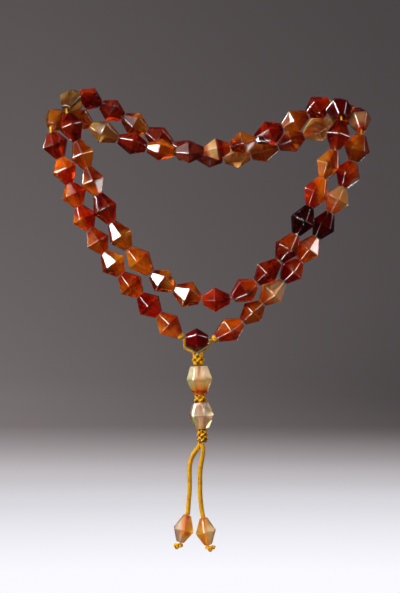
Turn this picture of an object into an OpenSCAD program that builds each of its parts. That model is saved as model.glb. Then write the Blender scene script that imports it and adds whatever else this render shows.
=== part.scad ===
// Agate mala: one closed string of hexagonal agate beads and a guru bead, hung doubled over two
// bends, with a knotted pendant of two barrel beads and two tail cords that end in beads.
// X runs to the viewer's right, Y away from the viewer and Z up. The origin lies midway between
// the two bends that the string hangs from.

/* [String beads] */
// Width of a string bead of the usual girth across its corners
bead_w = 14; // [10:0.1:14]
// Difference in length from one bead size to the next, as a share
size_step = 0.03; // [0.02:0.01:0.03]
// Difference in width from one bead girth to the next, as a share
girth_step = 0.03; // [0.02:0.01:0.03]
// Width of a bead's flat end faces across their corners
tip_w = 5.4; // [4:0.1:5.4]
// Diameter of the hole drilled through a bead
hole_w = 1.6; // [1.4:0.1:2]
// Facets round a bead
facets = 6; // [6:1:8]
// How far the cutting strays from a regular form, as a share of the size
stray = 0.05; // [0:0.01:0.06]
// Gap left between the end faces of neighbouring beads
bead_gap = 0.2; // [0.15:0.05:0.4]

/* [Thread] */
// Diameter of the thread that carries the string
thread_w = 1; // [0.8:0.1:1.1]

/* [Guru bead] */
// Width of the guru bead across its corners
guru_w = 12.6; // [11:0.1:12.8]
// Length of the guru bead along its hole
guru_l = 11.2; // [10:0.1:11.4]
// Width of its end faces
guru_tip_w = 5.9; // [5:0.1:6.2]
// Diameter of the silk collars beside it
collar_w = 4; // [3.4:0.1:4.4]
// Length of a collar
collar_l = 2.1; // [1.8:0.1:2.2]
// Diameter of the two cords that sling the pendant from the guru bead
sling_w = 1.1; // [0.8:0.1:1.2]

/* [Pendant] */
// Width of the barrel beads across their corners
barrel_w = 13.3; // [11:0.1:13.5]
// Width of the barrel beads' end faces
barrel_tip_w = 8.4; // [7:0.1:9]
// Diameter of the holes through the barrel beads and the knots
barrel_hole_w = 2.4; // [2:0.1:2.6]
// Diameter of the silk core that carries the barrel beads
core_w = 1.8; // [1.4:0.1:1.8]
// Width of the pendant's knots
knot_w = 7; // [6:0.1:7]

/* [Tail cords] */
// Diameter of the two tail cords
tail_w = 2.6; // [2:0.1:2.6]
// Width of the end beads across their corners
end_bead_w = 11.3; // [10:0.1:11.4]
// Width of the end beads' end faces
end_tip_w = 4.4; // [4:0.1:5]
// Diameter of the cord end inside an end bead
stem_w = 1.2; // [1:0.1:1.3]
// Width of the widest lobe of the knots under the end beads
end_knot_w = 3.4; // [3:0.1:3.5]

/* [Hidden] */

// Stone colours: letter, colour
STONES = [
    ["k", [0.15, 0.02, 0.02]],
    ["d", [0.32, 0.04, 0.03]],
    ["r", [0.56, 0.07, 0.03]],
    ["o", [0.78, 0.27, 0.07]],
    ["a", [0.83, 0.43, 0.12]],
    ["b", [0.46, 0.19, 0.09]],
    ["m", [0.50, 0.26, 0.23]],
    ["s", [0.56, 0.46, 0.33]],
    ["p", [0.87, 0.76, 0.60]],
];
silk = [0.85, 0.60, 0.08];

// Centre of the guru bead, and the string's first point on its left
guru_at = [-4.5, -8, -114];
string_start = [-13.3, -8, -111.5];

// The string's stretches in order, from the guru bead's left round both turns to its right.
// Each row: name, one stone letter for each bead, one size for its length and one girth for its
// width (5 is the usual one), one turn (how far one of its corners is turned from facing the
// front), and the points that the stretch runs through after the last stretch's end, as [x, y, z].
LETTERS = 1;
SIZES = 2;
GIRTHS = 3;
TURNS = 4;
POINTS = 5;
STRETCHES = [
    ["outer left", "bdradoror", "756653256", "655554455", "055204215",
        [[-33, -8, -91.6], [-50.8, -8, -70.3], [-63.6, -8, -47.2], [-72.6, -8, -23.4],
         [-78.3, -9, -8.5]]],
    ["left bend", "a", "5", "5", "0",
        [[-71, 4, 1.4]]],
    ["near back", "bsrompbdod", "4997844967", "3210234563", "1243100403",
        [[-43.5, 3.5, -13], [-15, 3.5, -19.3], [12, 3.5, -16.9], [38, 3, -7.4], [65, 1, 7.8]]],
    ["right bend", "k", "5", "5", "2",
        [[67.7, -12, -3.7]]],
    ["inner front", "dorkadbroboadbao", "4566664642866334", "5555555554652445",
        "0125504032513111",
        [[64.5, -14.4, -18.5], [51.5, -14.5, -47.5], [36.3, -15.4, -74.5], [12.5, -14.5, -93.6],
         [-3, -14, -93.9], [-28, -14.5, -80.3], [-47.3, -14.5, -55], [-59.2, -14, -28],
         [-70, -12, 0.3]]],
    ["left bend over", "s", "5", "4", "3",
        [[-65, 3.4, 10.7]]],
    ["far back", "ddbrmmsors", "4568566879", "2233211554", "2322503002",
        [[-51.6, 12, 4.6], [-28.1, 15.3, -9.2], [-3.5, 16.8, -20.8], [23.5, 16.8, -20.2],
         [50, 15.5, -10.2], [65, 14, -2.9]]],
    ["right bend behind", "dd", "66", "43", "02",
        [[75.5, 2.5, 3.2], [77.8, -9, -10]]],
    ["outer right", "aopkorpro", "445553747", "555355654", "225205505",
        [[74.4, -8, -22.7], [63.1, -8, -48.6], [48, -8, -73.3], [28.1, -8, -95.6],
         [17.9, -8, -105], [5.3, -8, -112.9]]],
];
steps = 12; // samples of the smooth curve between two of its points
bend_room = 1.6; // length of bare thread that a stretch keeps beside a bend
front = 90; // roll at which a corner of a stone faces the front
turn_step = 10; // degrees of roll for each step of a bead's turn

// The pendant hangs along a straight line with a slight lean.
pendant_top = [-4.1, -8, -119.8];
pendant_foot = [-1.5, -8, -167];
// Places along the pendant from its top: where each piece begins and ends
upper_knot_span = [0.8, 7];
upper_barrel_span = [7.2, 21.4];
middle_knot_span = [21.6, 25.3];
lower_barrel_span = [25.5, 38.5];
lower_knot_span = [38.7, 45.6];

// Sling cords, from a collar under the guru bead to the upper knot, as [x, y, z]
LEFT_SLING = [
    [-11.2, -9.2, -113.6], [-10.9, -9.1, -114.8], [-10.9, -8.8, -116], [-10.9, -8.4, -117.1],
    [-10.5, -8.1, -118.1], [-9.3, -8, -118.9], [-8, -8, -119.6], [-7, -8, -120],
];
RIGHT_SLING = [
    [1.8, -9.3, -114.1], [1.8, -9, -115.3], [1.8, -8.5, -116.4], [1.5, -8.1, -117.4],
    [0.5, -8, -118.2], [-0.6, -8, -118.9], [-1.7, -8, -119.5], [-2.2, -8, -119.8],
];

// Tail cords, from the lower knot down to their end beads, as [x, y, z]
LEFT_TAIL = [
    [-3.0, -6.7, -165.8], [-4.1, -6.7, -168.2], [-5.8, -6.9, -170.5], [-7.0, -7.2, -172.7],
    [-7.8, -7.5, -175], [-8.2, -7.7, -177.5], [-8.3, -7.8, -180], [-8.3, -7.9, -182.5],
    [-8.2, -8, -185], [-8.2, -8, -187.5], [-8.3, -8, -190], [-8.5, -8, -192.5],
    [-8.7, -8, -195], [-8.9, -8, -198.2], [-9.2, -8, -201.3],
];
RIGHT_TAIL = [
    [-1.7, -9.3, -165.8], [-1.5, -9.3, -168.6], [-1.7, -9.1, -171.5], [-2.1, -8.8, -174],
    [-2.5, -8.5, -176.5], [-2.9, -8.3, -179], [-3.0, -8.2, -181.5], [-3.0, -8.1, -184],
    [-3.0, -8, -186.5], [-3.0, -8, -189], [-2.9, -8, -191.5], [-2.7, -8, -194],
    [-2.4, -8, -197], [-2.0, -8, -200], [-1.4, -8, -202.6],
];
tail_ring_every = 2; // the tube has a ring at every second point of the route
left_end_bead_foot = [-13, -8, -215];
right_end_bead_foot = [1.1, -8, -216.4];
// Lobes of the knots under the end beads: centre, size as a share of the widest lobe
LEFT_END_LOBES = [
    [[-12.7, -8, -216.7], 0.76],
    [[-14.6, -8, -217], 1],
];
RIGHT_END_LOBES = [
    [[0.3, -8, -217.7], 0.58],
    [[2.1, -8, -218.3], 1],
    [[3.7, -8, -217.6], 0.7],
];
// End faces of the guru bead and the barrel beads, as shares of their usual width: at the left and
// the right of the guru bead, at the top and the foot of a barrel bead
guru_tips = [1.1, 0.9];
upper_barrel_tips = [1.06, 0.84];
lower_barrel_tips = [1, 0.9];
lower_knot_w = 6.3; // width of the lower knot at its top
lower_knot_taper = 0.8; // width of its foot as a share of its top
lobe_share = 0.56; // radius of a knot's lobe as a share of its row's height
knot_core_share = 0.7; // width of a knot's solid core as a share of the knot's
core_cover = 1; // how far the silk core ends inside the upper and the lower knot
overrun = 1; // how far a drill runs out of a knot at both ends
seat = 0.15; // gap between a stone and the silk that it seats on
tail_seat = 0.4; // gap between a tail cord and its end bead
tube_sides = 8;
thread_sides = 6;
lobe_sides = 12;

// Vectors
function unit(v) = v / norm(v);
function mix(a, b, t) = a + (b - a) * t;
function last_of(list) = list[len(list) - 1];
// A direction in the XZ plane that is square to d, where d doesn't run along Y
function side_of(d) = unit(cross(d, [0, 1, 0]));
function around(d, angle) = side_of(d) * cos(angle) + unit(cross(d, side_of(d))) * sin(angle);
function ring(centre, d, r, sides) =
    [for (i = [0 : sides - 1]) centre + r * around(d, 360 * i / sides)];

// A smooth curve through the points of a route, which it meets at each of them
function clamped(route, i) = route[min(max(i, 0), len(route) - 1)];
function curve_point(p0, p1, p2, p3, t) =
    (2 * p1 + (p2 - p0) * t + (2 * p0 - 5 * p1 + 4 * p2 - p3) * t * t
        + (3 * p1 - p0 - 3 * p2 + p3) * t * t * t) / 2;
function curve(route) = [
    for (i = [0 : len(route) - 2], j = [0 : steps - 1])
        curve_point(clamped(route, i - 1), route[i], route[i + 1], clamped(route, i + 2), j / steps),
    last_of(route),
];
function run_lengths(path) = [
    for (i = 0, s = 0; i < len(path); i = i + 1, s = s + norm(clamped(path, i) - path[i - 1])) s
];
function at_length(path, sums, s) =
    [for (axis = [0 : 2]) lookup(s, [for (i = [0 : len(path) - 1]) [sums[i], path[i][axis]]])];

// Where the beads of a stretch meet: steps along its curve in proportion to the beads' sizes
function digit_value(digit) = ord(digit) - ord("0");
function share(digit, step) = 1 + step * (digit_value(digit) - 5);
function sum_to(list, k) = k == 0 ? 0 : list[k - 1] + sum_to(list, k - 1);
function stretch_start(row) = row == 0 ? string_start : last_of(STRETCHES[row - 1][POINTS]);
function meeting_points(row) =
    let (path = curve(concat([stretch_start(row)], STRETCHES[row][POINTS])),
        sums = run_lengths(path),
        sizes = [for (digit = STRETCHES[row][SIZES]) share(digit, size_step)],
        before = row == 0 ? 0 : bend_room,
        after = row == len(STRETCHES) - 1 ? 0 : bend_room,
        step = (last_of(sums) - before - after) / sum_to(sizes, len(sizes)))
    [for (k = [1 : len(sizes)])
        k == len(sizes) ? last_of(path)
        : at_length(path, sums, before + step * sum_to(sizes, k))];
knots_of_string = [string_start, for (row = [0 : len(STRETCHES) - 1]) each meeting_points(row)];
stone_letters = [for (row = STRETCHES, letter = row[LETTERS]) letter];
stone_widths = [for (row = STRETCHES, digit = row[GIRTHS]) bead_w * share(digit, girth_step)];
stone_turns = [for (row = STRETCHES, digit = row[TURNS]) digit_value(digit)];
bead_count = len(stone_letters);
first_turn = ceil(bead_count / 2);

// The string at a bend needs a wider gap, so that two end faces clear each other at their rims.
function heading(i) = unit(knots_of_string[i + 1] - knots_of_string[i]);
function half_gap(i) =
    i <= 0 || i >= bead_count ? bead_gap / 2
    : let (turn = acos(min(1, heading(i - 1) * heading(i))))
        (bead_gap + tip_w * tan(turn / 2)) / 2;
function bead_start(i) = knots_of_string[i] + heading(i) * half_gap(i);
function bead_end(i) = knots_of_string[i + 1] - heading(i) * half_gap(i + 1);

// The guru bead's end faces, and the faces of the first and last bead beside it
guru_left = guru_at - [guru_l / 2, 0, 0];
guru_right = guru_at + [guru_l / 2, 0, 0];
first_face = bead_start(0);
last_face = bead_end(bead_count - 1);
first_heading = heading(0);
last_heading = heading(bead_count - 1);

// One closed skin over rings that have the same number of points. A loop joins the last ring to
// the first, and any other skin is capped at both ends.
module skin(rings, loop = false) {
    n = len(rings[0]);
    last = len(rings) - (loop ? 1 : 2);
    sides = [
        for (i = [0 : last], j = [0 : n - 1])
            let (k = (i + 1) % len(rings), m = (j + 1) % n)
            each [[i * n + j, k * n + j, k * n + m], [i * n + j, k * n + m, i * n + m]],
    ];
    caps = loop ? [] : [
        [for (j = [0 : n - 1]) j],
        [for (j = [n - 1 : -1 : 0]) (len(rings) - 1) * n + j],
    ];
    polyhedron(points = [for (r = rings) each r], faces = concat(sides, caps));
}

// A cut stone drilled from end to end: two rows of flat facets that meet at its widest line.
// from and to are the centres of its end faces.
module stone(from, to, w, tip_from, tip_to, hole, sides, seed, roll, even = false) {
    d = unit(to - from);
    luck = rands(-1, 1, 2 * sides + 2, seed);
    amount = even ? stray / 2 : stray;
    belly = mix(from, to, 0.5 + amount * luck[0]);
    across = w * (1 + amount * luck[1] / 2);
    rim = [for (i = [0 : sides - 1])
        (1 - amount * (1 + luck[2 + i]) / 2)
            * around(d, roll + 360 * i / sides + 120 * amount * luck[2 + sides + i])];
    bore = [for (i = [0 : sides - 1]) hole / 2 * around(d, roll + 360 * i / sides)];
    skin([
        [for (p = bore) from + p],
        [for (p = rim) from + p * tip_from / 2],
        [for (p = rim) belly + p * across / 2],
        [for (p = rim) to + p * tip_to / 2],
        [for (p = bore) to + p],
    ], loop = true);
}

// A round cord swept along a route
module tube(route, w, sides) {
    last = len(route) - 1;
    skin([
        for (i = [0 : last])
            ring(route[i], unit(route[min(i + 1, last)] - route[max(i - 1, 0)]), w / 2, sides)
    ]);
}

// Stands its children, which are drawn along +Z from the origin, on a point and turns them to face
// another.
module along(from, to) {
    d = unit(to - from);
    translate(from) rotate([0, acos(d.z), atan2(d.y, d.x)]) children();
}

function stone_colour(letter) = [for (s = STONES) if (s[0] == letter) s[1]][0];

module string_bead(i) {
    color(stone_colour(stone_letters[i]))
        stone(bead_start(i), bead_end(i), stone_widths[i], tip_w, tip_w, hole_w, facets, 100 + i,
            roll = front + turn_step * stone_turns[i]);
}

module first_turn_beads() {
    for (i = [0 : first_turn - 1]) string_bead(i);
}

module second_turn_beads() {
    for (i = [first_turn : bead_count - 1]) string_bead(i);
}

// The thread runs straight through each bead and over the gap to the next. Beyond the first and
// the last bead it runs on through a collar, then turns into the guru bead and closes there.
module string_thread() {
    collar_room = collar_l + 2 * seat;
    into_guru = [-1, 0, 0];
    color(silk) skin([
        for (i = [0 : bead_count - 1])
            each [
                ring(bead_start(i), heading(i), thread_w / 2, thread_sides),
                ring(bead_end(i), heading(i), thread_w / 2, thread_sides),
            ],
        ring(last_face + collar_room * last_heading, unit(last_heading + into_guru),
            thread_w / 2, thread_sides),
        ring(guru_right - seat * into_guru, into_guru, thread_w / 2, thread_sides),
        ring(guru_left + seat * into_guru, into_guru, thread_w / 2, thread_sides),
        ring(first_face - collar_room * first_heading, unit(first_heading + into_guru),
            thread_w / 2, thread_sides),
    ], loop = true);
}

module guru_bead() {
    color(stone_colour("k"))
        stone(guru_left, guru_right, guru_w, guru_tip_w * guru_tips[0], guru_tip_w * guru_tips[1],
            hole_w, facets, 7, roll = 0, even = true);
}

// Silk wound round the thread in three turns, from the end face of a bead along d
module collar(face, d) {
    turns = 3;
    wrap_r = collar_l / turns / 2;
    bore_r = thread_w / 2 + seat;
    color(silk) along(face + d * seat, face + d * (seat + collar_l)) rotate_extrude() {
        for (i = [0 : turns - 1])
            translate([collar_w / 2 - wrap_r, (2 * i + 1) * wrap_r]) circle(wrap_r);
        translate([bore_r, wrap_r / 2]) square([collar_w / 2 - wrap_r - bore_r, collar_l - wrap_r]);
    }
}

module left_collar() {
    collar(first_face, -first_heading);
}

module right_collar() {
    collar(last_face, last_heading);
}

module left_sling_cord() {
    color(silk) tube(LEFT_SLING, sling_w, tube_sides);
}

module right_sling_cord() {
    color(silk) tube(RIGHT_SLING, sling_w, tube_sides);
}

function on_pendant(s) = pendant_top + unit(pendant_foot - pendant_top) * s;

// A knot of crossed cords: rows of rounded lobes round a core, each row turned half a lobe from
// the last, with a hole for the silk core
module knot(span, w, rows, lobes = 4, foot_share = 1) {
    h = span[1] - span[0];
    row_h = h / rows;
    lobe_r = row_h * lobe_share;
    color(silk) along(on_pendant(span[0]), on_pendant(span[1])) difference() {
        intersection() {
            union() {
                cylinder(h = h, r = w / 2 * knot_core_share * foot_share);
                for (row = [0 : rows - 1], i = [0 : lobes - 1]) {
                    reach = mix(w / 2, w / 2 * foot_share, row / max(1, rows - 1)) - lobe_r;
                    rotate([0, 0, (i + row / 2) * 360 / lobes])
                        translate([reach, 0, (row + 0.5) * row_h]) sphere(lobe_r);
                }
            }
            cylinder(h = h, r = w);
        }
        translate([0, 0, -overrun]) cylinder(h = h + 2 * overrun, r = barrel_hole_w / 2);
    }
}

module upper_knot() {
    knot(upper_knot_span, knot_w, 3);
}

module middle_knot() {
    knot(middle_knot_span, knot_w, 2);
}

module lower_knot() {
    knot(lower_knot_span, lower_knot_w, 4, foot_share = lower_knot_taper);
}

module upper_barrel_bead() {
    color(stone_colour("p"))
        stone(on_pendant(upper_barrel_span[0]), on_pendant(upper_barrel_span[1]), barrel_w,
            barrel_tip_w * upper_barrel_tips[0], barrel_tip_w * upper_barrel_tips[1], barrel_hole_w,
            facets, 11, roll = front + 30, even = true);
}

module lower_barrel_bead() {
    color(stone_colour("p"))
        stone(on_pendant(lower_barrel_span[0]), on_pendant(lower_barrel_span[1]), barrel_w,
            barrel_tip_w * lower_barrel_tips[0], barrel_tip_w * lower_barrel_tips[1], barrel_hole_w,
            facets, 12, roll = front - 12, even = true);
}

module pendant_core() {
    from = upper_knot_span[0] + core_cover;
    to = lower_knot_span[1] - core_cover;
    color(silk) along(on_pendant(from), on_pendant(to)) cylinder(h = to - from, r = core_w / 2);
}

function every(route, step) = [for (i = [0 : step : len(route) - 1]) route[i]];

module left_tail_cord() {
    color(silk) tube(every(LEFT_TAIL, tail_ring_every), tail_w, tube_sides);
}

module right_tail_cord() {
    color(silk) tube(every(RIGHT_TAIL, tail_ring_every), tail_w, tube_sides);
}

function end_bead_top(route, foot) =
    last_of(route) + unit(foot - last_of(route)) * tail_seat;

module end_bead(route, foot, seed, roll) {
    color(stone_colour("p"))
        stone(end_bead_top(route, foot), foot, end_bead_w, end_tip_w, end_tip_w, hole_w, facets,
            seed, roll = roll);
}

module left_end_bead() {
    end_bead(LEFT_TAIL, left_end_bead_foot, 21, 80);
}

module right_end_bead() {
    end_bead(RIGHT_TAIL, right_end_bead_foot, 22, 100);
}

// A knot of a few rounded lobes under an end bead, in one with the thin cord end that runs up
// through the bead
module end_knot(route, foot, lobes) {
    top = end_bead_top(route, foot);
    reach = end_knot_w / 3;
    color(silk) {
        along(top, foot) cylinder(h = norm(foot - top) + reach, r = stem_w / 2, $fn = lobe_sides);
        for (lobe = lobes)
            translate(lobe[0]) sphere(end_knot_w / 2 * lobe[1], $fn = lobe_sides);
    }
}

module left_end_knot() {
    end_knot(LEFT_TAIL, left_end_bead_foot, LEFT_END_LOBES);
}

module right_end_knot() {
    end_knot(RIGHT_TAIL, right_end_bead_foot, RIGHT_END_LOBES);
}

first_turn_beads();
second_turn_beads();
string_thread();
guru_bead();
left_collar();
right_collar();
left_sling_cord();
right_sling_cord();
upper_knot();
upper_barrel_bead();
middle_knot();
lower_barrel_bead();
lower_knot();
pendant_core();
left_tail_cord();
right_tail_cord();
left_end_bead();
right_end_bead();
left_end_knot();
right_end_knot();
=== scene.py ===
"""The looks of the agate mala: cut and worn agate stones, braided silk cords and knots, and a plain
studio sweep. All lengths are metres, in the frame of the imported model."""

import math
import random

import bpy
import numpy as np
from mathutils import Matrix, Vector, noise


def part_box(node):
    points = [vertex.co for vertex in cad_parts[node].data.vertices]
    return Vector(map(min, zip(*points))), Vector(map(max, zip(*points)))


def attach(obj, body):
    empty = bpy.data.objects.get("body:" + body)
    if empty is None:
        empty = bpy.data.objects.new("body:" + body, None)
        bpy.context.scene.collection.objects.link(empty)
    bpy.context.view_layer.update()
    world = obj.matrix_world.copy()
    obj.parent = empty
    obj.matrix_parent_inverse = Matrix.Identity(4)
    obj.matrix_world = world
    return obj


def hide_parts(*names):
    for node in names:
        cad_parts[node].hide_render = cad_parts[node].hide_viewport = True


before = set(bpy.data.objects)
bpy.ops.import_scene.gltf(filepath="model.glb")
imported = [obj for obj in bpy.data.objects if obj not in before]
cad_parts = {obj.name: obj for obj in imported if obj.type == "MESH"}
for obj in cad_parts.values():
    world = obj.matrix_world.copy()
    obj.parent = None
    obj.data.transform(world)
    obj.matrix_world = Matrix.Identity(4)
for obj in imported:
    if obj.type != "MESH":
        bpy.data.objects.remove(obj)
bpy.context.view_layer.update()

MM = 0.001
BODY = "root"


# Camera

PICTURE_CENTRE = Vector((-3, -8, -92.25)) * MM  # what the middle of the picture shows
PICTURE_HEIGHT = 296.5 * MM  # what it shows from top to bottom, at the pendant's depth
CAMERA_DISTANCE = 1.2
SENSOR = 36.0


def make_camera():
    data = bpy.data.cameras.new("camera")
    data.sensor_width = SENSOR
    data.lens = SENSOR * CAMERA_DISTANCE / PICTURE_HEIGHT
    data.clip_start = 0.05
    data.clip_end = 20
    camera = bpy.data.objects.new("camera", data)
    camera.location = PICTURE_CENTRE - Vector((0, CAMERA_DISTANCE, 0))
    camera.rotation_euler = (math.radians(90), 0, 0)
    bpy.context.scene.collection.objects.link(camera)
    bpy.context.scene.camera = camera


make_camera()


# Curves and tubes

def catmull(points, steps):
    """A smooth curve through the points, with its ends on the first and the last one."""
    made = []
    last = len(points) - 1
    for i in range(last):
        p0, p1, p2, p3 = (points[min(max(k, 0), last)] for k in (i - 1, i, i + 1, i + 2))
        for j in range(steps):
            t = j / steps
            made.append((2 * p1 + (p2 - p0) * t + (2 * p0 - 5 * p1 + 4 * p2 - p3) * t ** 2
                         + (3 * p1 - p0 - 3 * p2 + p3) * t ** 3) / 2)
    made.append(points[-1])
    return made


def distances(line):
    """How far along a polyline each of its points lies."""
    return np.concatenate([[0], np.cumsum(np.linalg.norm(np.diff(line, axis=0), axis=1))])


def resample(points, spacing, closed=False):
    """Points along a polyline at an even distance, close to the spacing."""
    line = [np.array(p, float) for p in points]
    if closed:
        line.append(line[0])
    line = np.array(line)
    run = distances(line)
    count = max(4, round(run[-1] / spacing))
    where = np.linspace(0, run[-1], count + 1)
    if closed:
        where = where[:-1]
    return np.stack([np.interp(where, run, line[:, k]) for k in range(3)], 1)


def frames(line, closed=False):
    """Tangent, normal and binormal at each point of a line, turning as little as they can."""
    if closed:
        tangent = np.roll(line, -1, 0) - np.roll(line, 1, 0)
    else:
        tangent = np.gradient(line, axis=0)
    tangent /= np.linalg.norm(tangent, axis=1)[:, None]
    start = np.cross(tangent[0], (0, 1, 0))
    normal = np.zeros_like(line)
    normal[0] = start / np.linalg.norm(start)
    for i in range(1, len(line)):
        n = normal[i - 1] - tangent[i] * (normal[i - 1] @ tangent[i])
        normal[i] = n / np.linalg.norm(n)
    return tangent, normal, np.cross(tangent, normal)


class MeshParts:
    """Vertices, faces and point attributes of one piece, gathered from many small meshes."""

    def __init__(self):
        self.points = []
        self.faces = []
        self.values = {}
        self.slots = []
        self.count = 0

    def add(self, points, faces, slot=0, **values):
        """values are the attributes: for each, a row of 1, 3 or 4 numbers a point."""
        self.points.append(points)
        self.faces += [[k + self.count for k in f] for f in faces]
        self.slots += [slot] * len(faces)
        for name, value in values.items():
            self.values.setdefault(name, []).append(value)
        self.count += len(points)

    def build(self, name, *materials):
        """The piece, as one smooth mesh with the materials in its slots."""
        data = bpy.data.meshes.new(name)
        data.from_pydata(np.concatenate(self.points).tolist(), [], self.faces)
        for key, parts in self.values.items():
            value = np.concatenate(parts)
            kind, field = {1: ("FLOAT", "value"), 3: ("FLOAT_VECTOR", "vector"),
                           4: ("FLOAT_COLOR", "color")}[value.shape[1]]
            attribute = data.attributes.new(key, kind, "POINT")
            attribute.data.foreach_set(field, value.astype(np.float32).ravel())
        for material in materials:
            data.materials.append(material)
        data.polygons.foreach_set("material_index", self.slots)
        data.validate()
        data.update()
        data.polygons.foreach_set("use_smooth", [True] * len(data.polygons))
        piece = bpy.data.objects.new(name, data)
        bpy.context.scene.collection.objects.link(piece)
        return piece


def ring_faces(rings, sides, closed=False):
    """Faces of a tube, with caps where it isn't closed."""
    faces = []
    for i in range(rings if closed else rings - 1):
        a, b = i * sides, (i + 1) % rings * sides
        for j in range(sides):
            k = (j + 1) % sides
            faces.append([a + j, a + k, b + k, b + j])
    if not closed:
        faces.append(list(range(sides))[::-1])
        faces.append([(rings - 1) * sides + j for j in range(sides)])
    return faces


def sweep(parts, line, radius, sides, closed=False, flat=1, out=None, core=None, reach=None):
    """A round strand along a line. out gives the outward direction at each point, across which
    a flat strand is thinner. Stores how far along and round the strand each point lies, and how
    deep under the outside of a braid, whose middle is core and whose radius is reach."""
    line = np.asarray(line, float)
    tangent, normal, binormal = frames(line, closed)
    if out is not None:
        normal = out - tangent * np.sum(out * tangent, 1)[:, None]
        normal /= np.linalg.norm(normal, axis=1)[:, None]
        binormal = np.cross(tangent, normal)
    angle = np.arange(sides) * 2 * math.pi / sides
    across = radius * flat * np.cos(angle)
    up = radius * np.sin(angle)
    points = (line[:, None, :] + across[None, :, None] * normal[:, None, :]
              + up[None, :, None] * binormal[:, None, :])
    strand = np.zeros((len(line), sides, 3))
    strand[:, :, 0] = distances(line)[:, None]
    strand[:, :, 1] = np.cos(angle) * radius
    strand[:, :, 2] = np.sin(angle) * radius
    # How deep each point lies under a braid's outside, where the silk material paints shade
    if core is None:
        deep = np.zeros((len(line), sides))
    else:
        deep = 1 - np.linalg.norm(points - core[:, None, :], axis=2) / reach
    parts.add(points.reshape(-1, 3), ring_faces(len(line), sides, closed),
              strand_at=strand.reshape(-1, 3), deep=np.clip(deep, 0, 1).reshape(-1, 1))


PLY_SWELL = 1.12  # how much thicker each ply is than plies that just touch
BRAID_FLAT = 0.85  # thickness of a braid's strand, as a share of its width


def ply_cord(parts, line, width, plies, pitch, sides=6, closed=False):
    """A twisted cord of two or more plies along a line."""
    _, normal, binormal = frames(line, closed)
    strand_r = width / 2 / (1 + 1 / math.sin(math.pi / plies))
    lay_r = width / 2 - strand_r
    for k in range(plies):
        turn = 2 * math.pi * (distances(line) / pitch + k / plies)
        out = np.cos(turn)[:, None] * normal + np.sin(turn)[:, None] * binormal
        sweep(parts, line + out * lay_r, strand_r * PLY_SWELL, sides, closed)


def braid(parts, line, width, each_way, pitch, strand_w, sides, lift, gather=None):
    """A round braid: strands wind both ways round a line, over and under each other in turn.
    lift is how far they rise and sink, as a share of its width, and gather scales its radius
    along the line, such as to close the ends of a knot."""
    _, normal, binormal = frames(line)
    run = distances(line)
    wave = width * lift / 2
    lay_r = (width - strand_w) / 2 - wave
    scale = np.ones(len(line)) if gather is None else gather(run / run[-1])
    for way in (1, -1):
        for k in range(each_way):
            turn = way * 2 * math.pi * run / pitch + 2 * math.pi * k / each_way
            crossing = way * 2 * (2 * math.pi * run / pitch) + 2 * math.pi * k / each_way
            over = way * np.cos(each_way / 2 * crossing + math.pi * k)
            out = np.cos(turn)[:, None] * normal + np.sin(turn)[:, None] * binormal
            reach = (lay_r + wave * over) * scale
            sweep(parts, line + out * reach[:, None], strand_w / 2, sides, flat=BRAID_FLAT,
                  out=out, core=line, reach=width / 2)


# Routes, as in the part's source

LEFT_TAIL_ROUTE = [
    (-0.0030, -0.0067, -0.1658), (-0.0041, -0.0067, -0.1682), (-0.0058, -0.0069, -0.1705),
    (-0.0070, -0.0072, -0.1727), (-0.0078, -0.0075, -0.1750), (-0.0082, -0.0077, -0.1775),
    (-0.0083, -0.0078, -0.1800), (-0.0083, -0.0079, -0.1825), (-0.0082, -0.0080, -0.1850),
    (-0.0082, -0.0080, -0.1875), (-0.0083, -0.0080, -0.1900), (-0.0085, -0.0080, -0.1925),
    (-0.0087, -0.0080, -0.1950), (-0.0089, -0.0080, -0.1982), (-0.0092, -0.0080, -0.2013),
]
RIGHT_TAIL_ROUTE = [
    (-0.0017, -0.0093, -0.1658), (-0.0015, -0.0093, -0.1686), (-0.0017, -0.0091, -0.1715),
    (-0.0021, -0.0088, -0.1740), (-0.0025, -0.0085, -0.1765), (-0.0029, -0.0083, -0.1790),
    (-0.0030, -0.0082, -0.1815), (-0.0030, -0.0081, -0.1840), (-0.0030, -0.0080, -0.1865),
    (-0.0030, -0.0080, -0.1890), (-0.0029, -0.0080, -0.1915), (-0.0027, -0.0080, -0.1940),
    (-0.0024, -0.0080, -0.1970), (-0.0020, -0.0080, -0.2000), (-0.0014, -0.0080, -0.2026),
]
LEFT_SLING_ROUTE = [
    (-0.0112, -0.0092, -0.1136), (-0.0109, -0.0091, -0.1148), (-0.0109, -0.0088, -0.1160),
    (-0.0109, -0.0084, -0.1171), (-0.0105, -0.0081, -0.1181), (-0.0093, -0.0080, -0.1189),
    (-0.0080, -0.0080, -0.1196), (-0.0070, -0.0080, -0.1200),
]
RIGHT_SLING_ROUTE = [
    (0.0018, -0.0093, -0.1141), (0.0018, -0.0090, -0.1153), (0.0018, -0.0085, -0.1164),
    (0.0015, -0.0081, -0.1174), (0.0005, -0.0080, -0.1182), (-0.0006, -0.0080, -0.1189),
    (-0.0017, -0.0080, -0.1195), (-0.0022, -0.0080, -0.1198),
]
PENDANT_TOP = Vector((-4.1, -8, -119.8)) * MM
PENDANT_FOOT = Vector((-1.5, -8, -167)) * MM
TAIL_W = 2.6 * MM
SLING_W = 1.1 * MM
CORE_W = 1.8 * MM
THREAD_W = 1.0 * MM


# Silk

SILK = (0.80, 0.34, 0.003)
SILK_LIGHT = (1.0, 0.60, 0.02)
SILK_DARK = (0.30, 0.08, 0.001)
SILK_PAINTED_SHADE = (0.05, 0.012, 0.001)  # painted shade, deep between the strands of a braid
FIBRE_SHARE = 0.45  # how much of the silk's tone its fibres make, beside its clouds


def feed(socket, value):
    """Gives an input a constant value, or links it to another node's output."""
    if isinstance(value, bpy.types.NodeSocket):
        socket.id_data.links.new(value, socket)
    else:
        socket.default_value = value


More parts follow.
